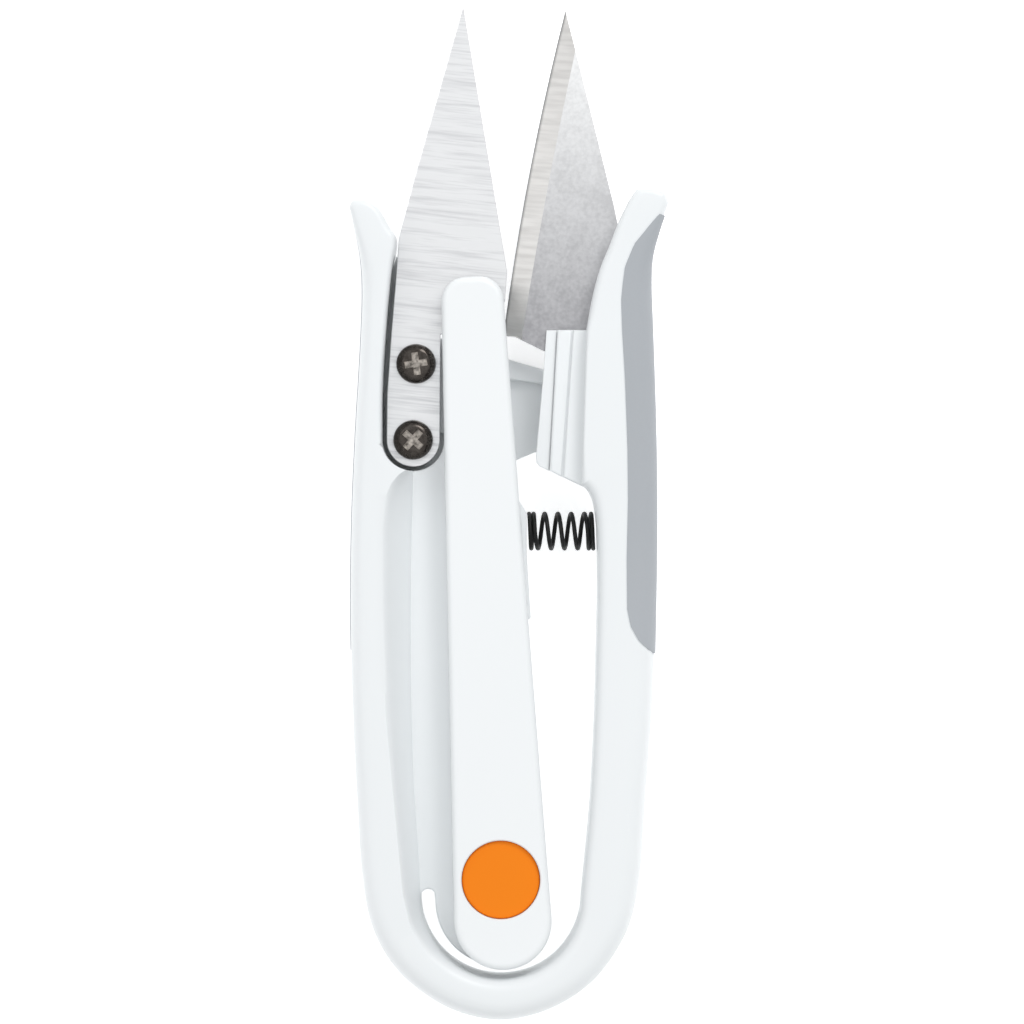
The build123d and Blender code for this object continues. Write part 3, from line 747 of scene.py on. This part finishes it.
def build_grip(name, side, proud):
    """A rubber skin on one limb's outer flank that wraps round one rim onto the face."""
    outline, rims = band_outline()
    inward = inward_normals(outline)
    shift = 0.0 if side > 0 else LEFT_GRIP_SHIFT
    rings = []
    for (x, y), (nx, ny), rim in zip(outline, inward, rims):
        width = x * side - np.interp(y, GRIP_EDGE_Y, GRIP_EDGE_X) - shift
        if x * side < 12.0 or not GRIP_ENDS[0] < y < GRIP_ENDS[1] or nx * side > -0.5:
            continue
        width = max(width, 0.12)
        outer = crown_share(rim)
        last = np.arccos(max(0.0, 1.0 - width / rim))
        path = [(outer * crown(h), h, 0.0) for h in np.linspace(GRIP_START, THICKNESS - rim, 5)]
        for a in np.linspace(0.0, last, 7)[1:]:
            height = THICKNESS - rim * (1 - sin(a))
            path.append((outer * crown(height) + rim * (1 - cos(a)), height, a))
        base = outer * crown(THICKNESS)
        for inset in np.linspace(rim, max(width, rim), 4)[1:]:
            path.append((base + inset, THICKNESS, last) if width > rim else path[-1])
        ring = []
        for offset, samples in ((proud, path), (-GRIP_DEPTH, path[::-1])):
            for inset, height, a in samples:
                inset -= offset * cos(a)
                height += offset * sin(a)
                ring.append((x + nx * inset, y + ny * inset, height if side > 0 else THICKNESS - height))
        rings.append(ring)
    return skin_rings(name, rings, RUBBER, 50.0)


right_grip = build_grip("right_grip_skin", 1, proud=0.12)
left_grip = build_grip("left_grip_skin", -1, proud=0.05)


# ---- return spring --------------------------------------------------------------------------------

def build_spring():
    """Coil with closed end turns along X, swept with a round wire."""
    low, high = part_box("return_spring")
    wire = 0.26
    radius = (high.y - low.y) / MM / 2 - wire
    middle = (low + high) / 2 / MM
    start, end = low.x / MM + wire, high.x / MM - wire
    closed_turns, open_turns, closed_pitch, per_turn, sides = 1.25, 4.0, 0.54, 40, 12
    turns = 2 * closed_turns + open_turns
    open_pitch = (end - start - 2 * closed_turns * closed_pitch) / open_turns
    rings = []
    for turn in np.linspace(0.0, turns, int(turns * per_turn)):
        opened = min(max(turn - closed_turns, 0.0), open_turns)
        along = (turn - opened) * closed_pitch + opened * open_pitch
        pitch = open_pitch if 0.0 < opened < open_turns else closed_pitch
        a = 2 * pi * turn
        outward = Vector((0.0, cos(a), sin(a)))
        tangent = Vector((pitch / (2 * pi * radius), -sin(a), cos(a))).normalized()
        across = tangent.cross(outward)
        centre = Vector((start + along, middle.y, middle.z)) + outward * radius
        rings.append([tuple(centre + outward * (wire * cos(b)) + across * (wire * sin(b)))
                      for b in np.linspace(0.0, 2 * pi, sides, endpoint=False)])
    return skin_rings("spring_coil", rings, BLACK, 60.0)


spring = build_spring()


# ---- riding the bodies ----------------------------------------------------------------------------

for piece in plate_pieces + [left_grip, left_blade]:
    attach(piece, FIXED)
for piece in arm_pieces + [right_grip]:
    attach(piece, ARM)

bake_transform(band)
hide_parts("left_handle", "right_handle")

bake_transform(spring)
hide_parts("return_spring")
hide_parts("left_grip")
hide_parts("left_blade")
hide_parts("right_grip")


# ---- floor, light and camera ----------------------------------------------------------------------

FLOOR_GAP = 0.2 * MM


def build_floor():
    """A plain pale table top under the snips."""
    material, nodes, links, shader = new_material("floor_white", (0.93, 0.93, 0.93), 0.85)
    mottle = object_noise(nodes, links, 3.0, detail=2.0)
    links.new(tint(nodes, links, mottle, (0.92, 0.92, 0.92), (0.94, 0.94, 0.94)),
              shader.inputs["Base Color"])
    shader.inputs["Specular IOR Level"].default_value = 0.0
    shader.inputs["Emission Color"].default_value = (1.0, 1.0, 1.0, 1.0)
    shader.inputs["Emission Strength"].default_value = 0.5
    mesh = bpy.data.meshes.new("floor")
    half = 1.5
    corners = [(-half, -half, 0), (half, -half, 0), (half, half, 0), (-half, half, 0)]
    mesh.from_pydata(corners, [], [(0, 1, 2, 3)])
    mesh.materials.append(material)
    floor = bpy.data.objects.new("floor", mesh)
    floor.location.z = CAD_LOW.z - FLOOR_GAP
    bpy.context.scene.collection.objects.link(floor)


def add_area_light(name, location, size, energy):
    """A square soft light aimed at the snips."""
    light = bpy.data.lights.new(name, "AREA")
    light.shape = "SQUARE"
    light.size = size
    light.energy = energy
    obj = bpy.data.objects.new(name, light)
    obj.location = location
    obj.rotation_mode = "QUATERNION"
    obj.rotation_quaternion = (-Vector(location)).to_track_quat("-Z", "Y")
    bpy.context.scene.collection.objects.link(obj)


def build_light():
    """A bright even world with a soft key from the upper left and a weaker fill."""
    world = bpy.data.worlds.new("studio")
    world.use_nodes = True
    nodes, links = world.node_tree.nodes, world.node_tree.links
    background = nodes["Background"]
    background.inputs["Color"].default_value = (0.975, 0.99, 1.0, 1.0)
    coordinates = nodes.new("ShaderNodeTexCoord")
    split = nodes.new("ShaderNodeSeparateXYZ")
    links.new(coordinates.outputs["Generated"], split.inputs["Vector"])
    links.new(map_range(nodes, links, split.outputs["Z"], 0.0, 1.0, 0.38, 0.98),
              background.inputs["Strength"])
    bpy.context.scene.world = world
    add_area_light("key", (0.24, 0.46, 0.50), 0.24, 1.6)
    add_area_light("fill", (-0.45, 0.1, 0.5), 0.5, 0.5)


CAMERA_HEIGHT = 0.6
FOCUS_HEIGHT = 0.007
VIEW_WIDTH = 121.45 * MM
VIEW_CENTRE = (0.42 * MM, -0.03 * MM)


def build_camera():
    """Straight down onto the front, framed as the snips are seen."""
    data = bpy.data.cameras.new("camera")
    data.sensor_width = 36.0
    data.lens = data.sensor_width * (CAMERA_HEIGHT - FOCUS_HEIGHT) / VIEW_WIDTH
    data.clip_start, data.clip_end = 0.01, 10.0
    camera = bpy.data.objects.new("camera", data)
    camera.location = (*VIEW_CENTRE, CAMERA_HEIGHT)
    bpy.context.scene.collection.objects.link(camera)
    bpy.context.scene.camera = camera


build_floor()
build_light()
build_camera()
bpy.context.scene.view_settings.view_transform = "Standard"
